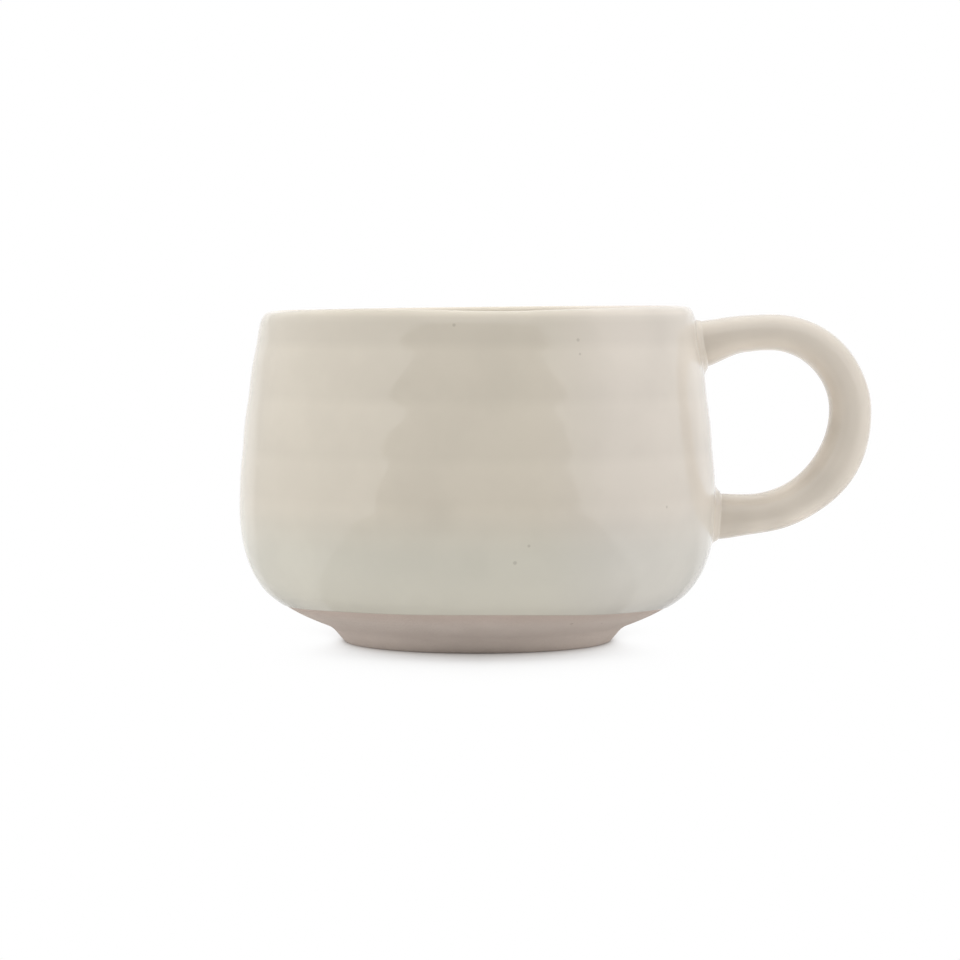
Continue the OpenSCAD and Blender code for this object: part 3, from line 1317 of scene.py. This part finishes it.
class Mottle(Effect):
    """Soft cloudy change over the surface, from 0 to 1."""

    name = "mottle"
    inputs = (("Place", "NodeSocketVector"), ("Scale", "NodeSocketFloat"))
    outputs = (("Tone", "NodeSocketFloat"),)
    detail = 3.0
    darkest = 0.28
    palest = 0.72

    @classmethod
    def draw(cls, board: Board, source: Node) -> dict[str, Socket]:
        """Draw cloudy noise.

        Args:
            board: The group's board.
            source: Node that holds the group's inputs.

        Returns:
            The tone.
        """
        place, scale = source.outputs["Place"], source.outputs["Scale"]
        cloud = board.add("ShaderNodeTexNoise", {"Vector": place, "Scale": scale, "Detail": cls.detail})
        return {"Tone": board.remap(cloud.outputs[0], cls.darkest, cls.palest, 0.0, 1.0)}


class Specks(Effect):
    """Sparse round spots, one at most in each cell."""

    name = "specks"
    inputs = (
        ("Place", "NodeSocketVector"),
        ("Scale", "NodeSocketFloat"),
        ("Share", "NodeSocketFloat"),
        ("Radius", "NodeSocketFloat"),
    )
    outputs = (("Mask", "NodeSocketFloat"),)
    smallest = 0.5
    solid_to = 0.55

    @classmethod
    def draw(cls, board: Board, source: Node) -> dict[str, Socket]:
        """Draw spots in the cells whose chance is below the share.

        Args:
            board: The group's board.
            source: Node that holds the group's inputs.

        Returns:
            The mask.
        """
        inputs = {"Vector": source.outputs["Place"], "Scale": source.outputs["Scale"]}
        cell = board.add("ShaderNodeTexVoronoi", inputs)
        chance = board.add("ShaderNodeSeparateColor", {"Color": cell.outputs["Color"]})
        chosen = board.math("LESS_THAN", chance.outputs[0], source.outputs["Share"])
        grown = board.math("ADD", chance.outputs[1], cls.smallest)
        size = board.math("MULTIPLY", source.outputs["Radius"], grown)
        near = board.math("DIVIDE", cell.outputs["Distance"], size)
        spot = board.remap(near, cls.solid_to, 1.0, 1.0, 0.0)
        return {"Mask": board.math("MULTIPLY", spot, chosen)}


class TurningLines(Effect):
    """Fine rings that a turning tool leaves around the axis."""

    name = "turning_lines"
    inputs = (("Place", "NodeSocketVector"), ("Pitch", "NodeSocketFloat"))
    outputs = (("Height", "NodeSocketFloat"),)
    climb = 0.7
    drift = 12.0
    detail = 2.0

    @classmethod
    def draw(cls, board: Board, source: Node) -> dict[str, Socket]:
        """Draw uneven rings by radius and height.

        Args:
            board: The group's board.
            source: Node that holds the group's inputs.

        Returns:
            The height.
        """
        x, y, z = board.parts(source.outputs["Place"])
        squares = board.math("ADD", board.math("MULTIPLY", x, x), board.math("MULTIPLY", y, y))
        along = board.math("ADD", board.math("SQRT", squares), board.math("MULTIPLY", z, cls.climb))
        rate = board.math("DIVIDE", along, source.outputs["Pitch"])
        drifted = board.math("MULTIPLY", x, cls.drift)
        place = board.add("ShaderNodeCombineXYZ", {0: rate, 1: drifted}).outputs[0]
        rings = board.add("ShaderNodeTexNoise", {"Vector": place, "Scale": 1.0, "Detail": cls.detail})
        return {"Height": rings.outputs[0]}


class Surround(Effect):
    """How bright the studio is as a mirror image, by direction from the cup.

    White backdrop behind, two softboxes beside the cup and a dim gap behind the camera. The backdrop and
    the gap are wider lower down, and all but the backdrop is dimmer towards the floor, most in front.
    """

    name = "surround"
    inputs = (("Way", "NodeSocketVector"),)
    outputs = (("Level", "NodeSocketFloat"),)
    slant = 0.4
    gap_from = 0.64
    gap_to = 0.67
    gap_level = 0.2
    back_slant = 0.8
    beside: Marks = (
        (-1.0, 1.0),
        (-0.735, 1.0),
        (-0.705, 0.75),
        (-0.57, 0.80),
        (-0.35, 0.93),
        (-0.23, 0.93),
        (-0.13, 1.0),
        (1.0, 1.0),
    )
    dim_from = 0.0
    dim_to = -0.34
    dim_back = 0.85
    dim_front = 0.5
    dim_back_at = -0.8
    dim_front_at = 0.35
    back_from = -0.64
    back_to = -0.74

    @classmethod
    def draw(cls, board: Board, source: Node) -> dict[str, Socket]:
        """Draw the zones from back to front and dim them downwards.

        Args:
            board: The group's board.
            source: Node that holds the group's inputs.

        Returns:
            The level.
        """
        _, y, z = board.parts(source.outputs["Way"])
        front = board.math("MULTIPLY", y, -1.0)
        leaning = board.math("SUBTRACT", front, board.math("MULTIPLY", z, cls.slant))
        gap = board.remap(leaning, cls.gap_from, cls.gap_to, 1.0, cls.gap_level)
        sloping = board.math("ADD", front, board.math("MULTIPLY", z, cls.back_slant))
        level = board.math("MULTIPLY", gap, board.ramp(sloping, cls.beside))
        dim = board.remap(front, cls.dim_back_at, cls.dim_front_at, cls.dim_back, cls.dim_front)
        held = board.remap(z, cls.dim_to, cls.dim_from, dim, 1.0)
        behind = board.remap(front, cls.back_to, cls.back_from, 1.0, 0.0)
        return {"Level": board.math("MULTIPLY", level, board.math("MAXIMUM", held, behind))}


@dataclass(frozen=True)
class Glaze:
    """A glossy cream glaze: warm above, cooler below, with a few iron specks.

    Painted shading, spots, flushes and patches of painted light and shade have their places and reaches
    in millimetres, as the pieces have.
    """

    name: str
    warm: Colour = (0.606, 0.553, 0.466)
    cool: Colour = (0.582, 0.558, 0.484)
    iron: Colour = (0.16, 0.12, 0.085)
    cool_from: float = 0.0290
    cool_to: float = 0.0175
    side_tint: Colour = WHITE
    side_from: float = 0.008
    side_to: float = 0.028
    # Painted light on the inner side of the lip: how much, and where it lies.
    rim_painted_light: float = 0.0
    rim_inner_r: float = 0.0388
    rim_crest_r: float = 0.0396
    rim_from: float = 0.0605
    rim_to: float = 0.0620
    mottle_scale: float = 75.0
    mottle_depth: float = 0.02
    roughness: float = 0.03
    roughness_change: float = 0.03
    gloss_scale: float = 180.0
    speck_scale: float = 95.0
    speck_share: float = 0.025
    speck_radius: float = 0.04
    speck_depth: float = 0.27
    specks_from: float = 0.0
    specks_full: float = 0.006
    spot_core: float = 0.5
    spot_edge: float = 1.2
    ripple_scale: float = 300.0
    ripple_height: float = 0.000012
    index: float = 1.57
    # Painted shading by height: heights, each with a factor of the colour.
    painted_shading: Marks = ()
    spots: tuple[tuple[float, float, float, float], ...] = ()
    # A flush, and patches of painted light and shade: place, reach and factor.
    flushes_and_painted_light: tuple[tuple[float, float, float, float, float], ...] = ()

    def material(self) -> Material:
        """Make the material.

        Returns:
            The glaze.
        """
        made, board, shader, place = Board.begin(self.name)
        inputs = {0: self.body(board, place), "Scale": self.shade(board, place)}
        toned = board.add("ShaderNodeVectorMath", inputs, operation="SCALE").outputs["Vector"]
        specks = board.math("MULTIPLY", self.specks(board, place), self.speck_depth)
        gloss = Mottle.place(board, {"Place": place, "Scale": self.gloss_scale}).outputs["Tone"]
        ripple = Mottle.place(board, {"Place": place, "Scale": self.ripple_scale}).outputs["Tone"]
        roughest = self.roughness + self.roughness_change
        board.join(
            shader,
            {
                "Base Color": board.blend(specks, toned, self.iron),
                "Roughness": board.remap(gloss, 0.0, 1.0, self.roughness, roughest),
                "Normal": board.bump(ripple, self.ripple_height),
            },
        )
        shader.inputs["IOR"].default_value = self.index
        return made

    def body(self, board: Board, place: Socket) -> Socket:
        """Colour of the glaze by height, tinted towards the handle's side.

        Args:
            board: The material's board.
            place: Object coordinates.

        Returns:
            The colour.
        """
        x, _, z = board.parts(place)
        low = board.remap(z, self.cool_to, self.cool_from, 1.0, 0.0)
        aside = board.remap(x, self.side_from, self.side_to, 0.0, 1.0)
        tint = board.blend(aside, WHITE, self.side_tint)
        return board.vector("MULTIPLY", board.blend(low, self.warm, self.cool), tint)

    def shade(self, board: Board, place: Socket) -> Socket:
        """How pale the glaze is: clouds, the painted shading of the rings and the lip, painted light on
        the inner rim, and patches: one darker flush on the wall, the rest painted light and shade.

        Args:
            board: The material's board.
            place: Object coordinates.

        Returns:
            A factor of its colour.
        """
        height = board.parts(place)[2]
        cloud = Mottle.place(board, {"Place": place, "Scale": self.mottle_scale}).outputs["Tone"]
        shade = board.remap(cloud, 0.0, 1.0, 1 - self.mottle_depth, 1 + self.mottle_depth)
        # Painted shading of the rings, the band under the lip and the lip.
        if self.painted_shading:
            marks = tuple((z * MM, level) for z, level in self.painted_shading)
            shade = board.math("MULTIPLY", shade, board.ramp(height, marks))
        # Painted light on the inner side of the lip, palest at its inner edge and only near the top.
        if self.rim_painted_light:
            radius = board.length(board.vector("MULTIPLY", place, (1, 1, 0)))
            pale = board.remap(radius, self.rim_inner_r, self.rim_crest_r, self.rim_painted_light, 0.0)
            held = board.remap(height, self.rim_from, self.rim_to, 0.0, 1.0)
            lift = board.math("ADD", board.math("MULTIPLY", pale, held), 1.0)
            shade = board.math("MULTIPLY", shade, lift)
        # One darker flush on the front of the wall; the other patches are painted light where the handle
        # shades the wall or itself, and painted shade on the handle's lower arm.
        for x, y, z, reach, level in self.flushes_and_painted_light:
            patch = board.remap(board.distance(place, (x, y, z)), 0.0, reach * MM, level, 1.0)
            shade = board.math("MULTIPLY", shade, patch)
        return shade

    def specks(self, board: Board, place: Socket) -> Socket:
        """Draw the iron specks: scattered ones away from the front, and the placed spots.

        Args:
            board: The material's board.
            place: Object coordinates.

        Returns:
            Mask of the specks.
        """
        inputs = {"Scale": self.speck_scale, "Share": self.speck_share, "Radius": self.speck_radius}
        scattered = Specks.place(board, {"Place": place, **inputs}).outputs["Mask"]
        behind = board.remap(board.parts(place)[1], self.specks_from, self.specks_full, 0.0, 1.0)
        mask = board.math("MULTIPLY", scattered, behind)
        for x, y, z, radius in self.spots:
            away = board.distance(place, (x, y, z))
            spot = board.remap(away, radius * MM * self.spot_core, radius * MM * self.spot_edge, 1.0, 0.0)
            mask = board.math("MAXIMUM", mask, spot)
        return mask


@dataclass(frozen=True)
class BareClay:
    """Bare fired stoneware: matt, grainy, with fine turning lines."""

    name: str
    pale: Colour = (0.562, 0.492, 0.443)
    deep: Colour = (0.517, 0.449, 0.401)
    grog: Colour = (0.28, 0.21, 0.175)
    roughness: float = 0.78
    roughness_change: float = 0.14
    mottle_scale: float = 130.0
    mottle_share: float = 0.6
    grain_scale: float = 1500.0
    grain_share: float = 0.4
    grain_height: float = 0.00003
    line_pitch: float = 0.0007
    line_height: float = 0.00005
    grog_scale: float = 700.0
    grog_share: float = 0.04
    grog_radius: float = 0.22
    grog_depth: float = 0.45
    # Painted shade: the clay turns darker and warmer towards the glaze line, holding back the strong side
    # light on that band.
    painted_shade_from: float = 0.0055
    painted_shade_to: float = 0.0080
    painted_shade_tint: Colour = (0.91, 0.865, 0.845)

    def material(self) -> Material:
        """Make the material.

        Returns:
            The clay.
        """
        made, board, shader, place = Board.begin(self.name)
        tone = Mottle.place(board, {"Place": place, "Scale": self.mottle_scale}).outputs["Tone"]
        grain = Mottle.place(board, {"Place": place, "Scale": self.grain_scale}).outputs["Tone"]
        lines = TurningLines.place(board, {"Place": place, "Pitch": self.line_pitch}).outputs["Height"]
        cloudy = board.math("MULTIPLY", tone, self.mottle_share)
        mixed = board.math("ADD", cloudy, board.math("MULTIPLY", grain, self.grain_share))
        body = board.blend(mixed, self.deep, self.pale)
        tooled = board.math("MULTIPLY", lines, self.line_height / self.grain_height)
        roughest = self.roughness + self.roughness_change
        board.join(
            shader,
            {
                "Base Color": self.with_painted_shade_and_grog(board, place, body),
                "Roughness": board.remap(grain, 0.0, 1.0, self.roughness, roughest),
                "Normal": board.bump(board.math("ADD", grain, tooled), self.grain_height),
            },
        )
        return made

    def with_painted_shade_and_grog(self, board: Board, place: Socket, body: Socket) -> Socket:
        """Colour of the clay, with painted shade on the band beside the glaze and with grains of grog.

        Args:
            board: The material's board.
            place: Object coordinates.
            body: Colour of the plain clay.

        Returns:
            The colour.
        """
        share = board.remap(board.parts(place)[2], self.painted_shade_from, self.painted_shade_to, 0.0, 1.0)
        toned = board.vector("MULTIPLY", body, board.blend(share, WHITE, self.painted_shade_tint))
        inputs = {"Scale": self.grog_scale, "Share": self.grog_share, "Radius": self.grog_radius}
        grog = Specks.place(board, {"Place": place, **inputs}).outputs["Mask"]
        return board.blend(board.math("MULTIPLY", grog, self.grog_depth), toned, self.grog)


@dataclass(frozen=True)
class Softbox:
    """A large soft lamp: place of its middle, size and radiance, facing the cup."""

    name: str
    place: tuple[float, float, float]
    size: tuple[float, float]
    radiance: float
    aim: tuple[float, float, float] = (0.0, 0.0, 0.03)

    def build(self) -> None:
        """Add the lamp and turn it to the cup, where it gives no mirror image."""
        bpy.ops.object.light_add(type="AREA", location=self.place)
        lamp = bpy.context.object
        lamp.name = self.name
        lamp.rotation_euler = (Vector(self.aim) - Vector(self.place)).to_track_quat("-Z", "Y").to_euler()
        lamp.data.shape = "RECTANGLE"
        lamp.data.size, lamp.data.size_y = self.size
        lamp.data.energy = self.radiance * math.pi * self.size[0] * self.size[1]
        lamp.visible_glossy = False


@dataclass(frozen=True)
class Studio:
    """White floor and backdrop, soft lamps and the photo's camera."""

    camera_place: tuple[float, float, float] = (0.000475, -0.680, 0.0682)
    camera_dip: float = math.radians(3.17)
    focal_px: float = 3579.0
    image_px: float = 960.0
    sensor: float = 36.0
    clip_start: float = 0.01
    ambient: float = 0.2275
    mirror_height: float = 0.04
    floor_half: float = 3.0
    floor_colour: Colour = (0.82, 0.82, 0.82)
    floor_roughness: float = 0.9
    floor_glow: float = 0.27
    glow_from: float = 0.0245
    glow_full: float = 0.0295
    side_glow: float = 0.15
    side_from: float = 0.034
    side_to: float = 0.042
    shadow_from: float = 0.0252
    shadow_front: float = 0.018
    shadow_side: float = 0.001
    lamps: tuple[Softbox, ...] = (
        Softbox("left_softbox", (-0.92, -0.25, 0.30), (1.2, 0.5), 1.75),
        Softbox("right_softbox", (0.92, -0.25, 0.30), (1.2, 0.5), 1.75),
        Softbox("top_softbox", (0.0, 0.1, 1.35), (1.4, 1.4), 3.2),
        Softbox("back_softbox", (0.0, 0.9, 0.9), (1.6, 0.8), 1.5),
    )

    def camera(self) -> None:
        """Set up the camera at the photo's angle."""
        turned = (math.pi / 2 - self.camera_dip, 0, 0)
        bpy.ops.object.camera_add(location=self.camera_place, rotation=turned)
        camera = bpy.context.object
        camera.name = "photo_camera"
        camera.data.sensor_width = self.sensor
        camera.data.lens = self.focal_px * self.sensor / self.image_px
        camera.data.clip_start = self.clip_start
        bpy.context.scene.camera = camera

    def world(self) -> None:
        """White surroundings that are dimmer as light and have their own levels in mirror images."""
        world = bpy.data.worlds.new("studio")
        bpy.context.scene.world = world
        world.use_nodes = True
        board = Board(world.node_tree)
        shader = world.node_tree.nodes["Background"]
        way = board.add("ShaderNodeTexCoord").outputs["Generated"]
        seen, shown = self.sight(board, way)
        lit = board.math("MULTIPLY", board.math("SUBTRACT", 1.0, seen), self.ambient)
        board.join(shader, {"Strength": board.math("ADD", shown, lit)})
        shader.inputs["Color"].default_value = (*WHITE, 1)

    @staticmethod
    def sight(board: Board, way: Socket) -> tuple[Socket, Socket]:
        """Tell rays that see the studio from rays that light the cup.

        Args:
            board: Board of the world or of the floor's material.
            way: Direction from the cup.

        Returns:
            Whether the ray sees the studio, and how bright it sees it.
        """
        rays = board.add("ShaderNodeLightPath").outputs
        straight = board.math("MAXIMUM", rays["Is Camera Ray"], rays["Is Transmission Ray"])
        mirrored = board.math("SUBTRACT", rays["Is Glossy Ray"], straight)
        level = Surround.place(board, {"Way": way}).outputs["Level"]
        shown = board.math("MAXIMUM", straight, board.math("MULTIPLY", mirrored, level))
        return board.math("MAXIMUM", straight, mirrored), shown

    def floor(self) -> None:
        """Lay the floor, which is no part of the cup."""
        bpy.ops.object.select_all(action="DESELECT")
        bpy.ops.mesh.primitive_plane_add(size=2 * self.floor_half, location=(0, 0, 0))
        floor = bpy.context.object
        floor.name = "studio_floor"
        floor.data.materials.append(self.paper(floor.name))

    def paper(self, name: str) -> Material:
        """Make a pale paper that keeps the cup's shadow and fades to white around it.

        Args:
            name: Name of the material.

        Returns:
            The material.
        """
        made, board, shader, place = Board.begin(name)
        shader.inputs["Base Color"].default_value = (*self.floor_colour, 1)
        shader.inputs["Roughness"].default_value = self.floor_roughness
        shader.inputs["Specular IOR Level"].default_value = 0.0
        shader.inputs["Emission Color"].default_value = (*WHITE, 1)
        below = board.vector("SUBTRACT", place, (0, 0, self.mirror_height))
        seen, shown = self.sight(board, board.vector("NORMALIZE", below))
        away = board.length(place)
        beside = board.math("DIVIDE", board.math("ABSOLUTE", board.parts(place)[0]), away)
        unseen = board.math("SUBTRACT", 1.0, seen)
        glow = board.math("MULTIPLY", unseen, self.glow(board, away, beside))
        board.join(shader, {"Emission Strength": glow})
        faded = board.math("MULTIPLY", self.fade(board, away, beside), seen)
        white = board.add("ShaderNodeEmission", {"Color": (*WHITE, 1), "Strength": shown})
        mix = board.add("ShaderNodeMixShader", {0: faded, 1: shader.outputs[0], 2: white.outputs[0]})
        board.join(made.node_tree.nodes["Material Output"], {"Surface": mix.outputs[0]})
        return made

    def glow(self, board: Board, away: Socket, beside: Socket) -> Socket:
        """Light that the floor gives the cup, more of it at either side close to the foot.

        Args:
            board: Board of the floor's material.
            away: Distance from the axis.
            beside: How far a place is beside the cup, from 0 in front to 1.

        Returns:
            The strength of that light.
        """
        near = board.remap(away, self.glow_from, self.glow_full, 0.0, self.floor_glow)
        held = board.remap(away, self.side_from, self.side_to, self.side_glow, 0.0)
        return board.math("ADD", near, board.math("MULTIPLY", beside, held))

    def fade(self, board: Board, away: Socket, beside: Socket) -> Socket:
        """How white the floor has become, soon beside the cup and late in front, as in the photo.

        Args:
            board: Board of the floor's material.
            away: Distance from the axis.
            beside: How far a place is beside the cup, from 0 in front to 1.

        Returns:
            The share of white, which is all of it in a mirror image.
        """
        inputs = {"Value": beside, "To Min": self.shadow_front, "To Max": self.shadow_side}
        run = board.add("ShaderNodeMapRange", inputs).outputs[0]
        beyond = board.math("MAXIMUM", board.math("SUBTRACT", away, self.shadow_from), 0.0)
        left = board.math("EXPONENT", board.math("MULTIPLY", board.math("DIVIDE", beyond, run), -1.0))
        mirrored = board.add("ShaderNodeLightPath").outputs["Is Glossy Ray"]
        return board.math("MAXIMUM", board.math("SUBTRACT", 1.0, left), mirrored)

    def build(self) -> None:
        """Set up everything around the cup."""
        bpy.context.scene.view_settings.view_transform = "Standard"
        self.camera()
        self.world()
        self.floor()
        for lamp in self.lamps:
            lamp.build()


# Painted light: a paler copy of the cream glaze for the handle, which gets less light than the wall.
STRAP_CREAM_PAINTED_LIGHT = (0.638, 0.577, 0.500)
HANDLE_SIDE = (1.0, 1.0, 1.05)
# Painted light on the inner side of the lip.
RIM_PAINTED_LIGHT = 0.16
LINER_MOTTLE = 0.03
SLIP_PALE = (0.55, 0.47, 0.41)
SLIP_DEEP = (0.50, 0.42, 0.36)
# A darker flush on the front of the wall, then patches of painted light on its right side: under the lip
# and beside both roots of the handle, where the handle shades it.
WALL_FLUSH_AND_PAINTED_LIGHT = (
    (-6.7, -44.8, 26.5, 5.0, 0.955),
    (39.0, -14.0, 58.0, 13.0, 1.12),
    (24.0, -33.0, 57.0, 15.0, 1.06),
    (39.5, -19.0, 48.0, 18.0, 1.05),
    (43.0, -12.0, 25.0, 13.0, 1.06),
)
# Painted light on the top of the lower arm, on the inner side of the loop and near the upper root, and
# painted shade on the lower arm's underside and outer flank.
LOOP_PAINTED_LIGHT_AND_SHADE = (
    (49.0, -3.0, 31.0, 7.5, 1.20),
    (57.0, -3.0, 31.0, 7.5, 1.20),
    (64.0, -3.0, 36.5, 7.0, 1.15),
    (66.0, -4.0, 44.0, 6.0, 1.15),
    (47.0, -4.0, 57.5, 8.0, 1.06),
    (67.0, -3.0, 27.0, 8.0, 0.90),
    (49.0, -3.0, 21.5, 5.5, 0.90),
    (57.0, -3.0, 22.0, 5.5, 0.90),
)
IRON_SPOTS = (
    (-4.16, -41.1, 60.5, 0.34),
    (18.05, -37.72, 57.78, 0.36),
    (18.4, -38.04, 55.27, 0.26),
    (6.71, -43.98, 18.16, 0.40),
    (9.2, -44.05, 21.2, 0.30),
    (34.54, -29.28, 27.23, 0.30),
    (47.97, -5.1, 57.62, 0.42),
    (46.83, -4.6, 59.69, 0.34),
)


def main() -> None:
    """Build the cup's pieces and the studio around them."""
    logging.basicConfig(level=logging.INFO, format="%(name)s: %(message)s")
    clay = BareClay("stoneware_clay").material()
    slip = BareClay("joint_slip", SLIP_PALE, SLIP_DEEP).material()
    wall = WallShape.from_frame()
    cream = Glaze(
        "cream_glaze",
        side_tint=HANDLE_SIDE,
        rim_painted_light=RIM_PAINTED_LIGHT,
        painted_shading=wall.throwing.painted_shading(),
        spots=IRON_SPOTS,
        flushes_and_painted_light=WALL_FLUSH_AND_PAINTED_LIGHT,
    ).material()
    # The handle's glaze: the paler copy of the cream, with painted light and shade on the loop.
    strap = Glaze(
        "handle_cream_painted_light", STRAP_CREAM_PAINTED_LIGHT, STRAP_CREAM_PAINTED_LIGHT, spots=IRON_SPOTS, flushes_and_painted_light=LOOP_PAINTED_LIGHT_AND_SHADE
    ).material()
    liner = Glaze("liner_glaze", mottle_depth=LINER_MOTTLE).material()
    ThrownBowl(wall).build(clay, cream, liner)
    TurnedFoot(wall).build(clay)
    PulledHandle(wall).build(clay, slip, strap)
    Studio().build()
    LOG.info("cup and studio are built")


if __name__ == "__main__":
    main()
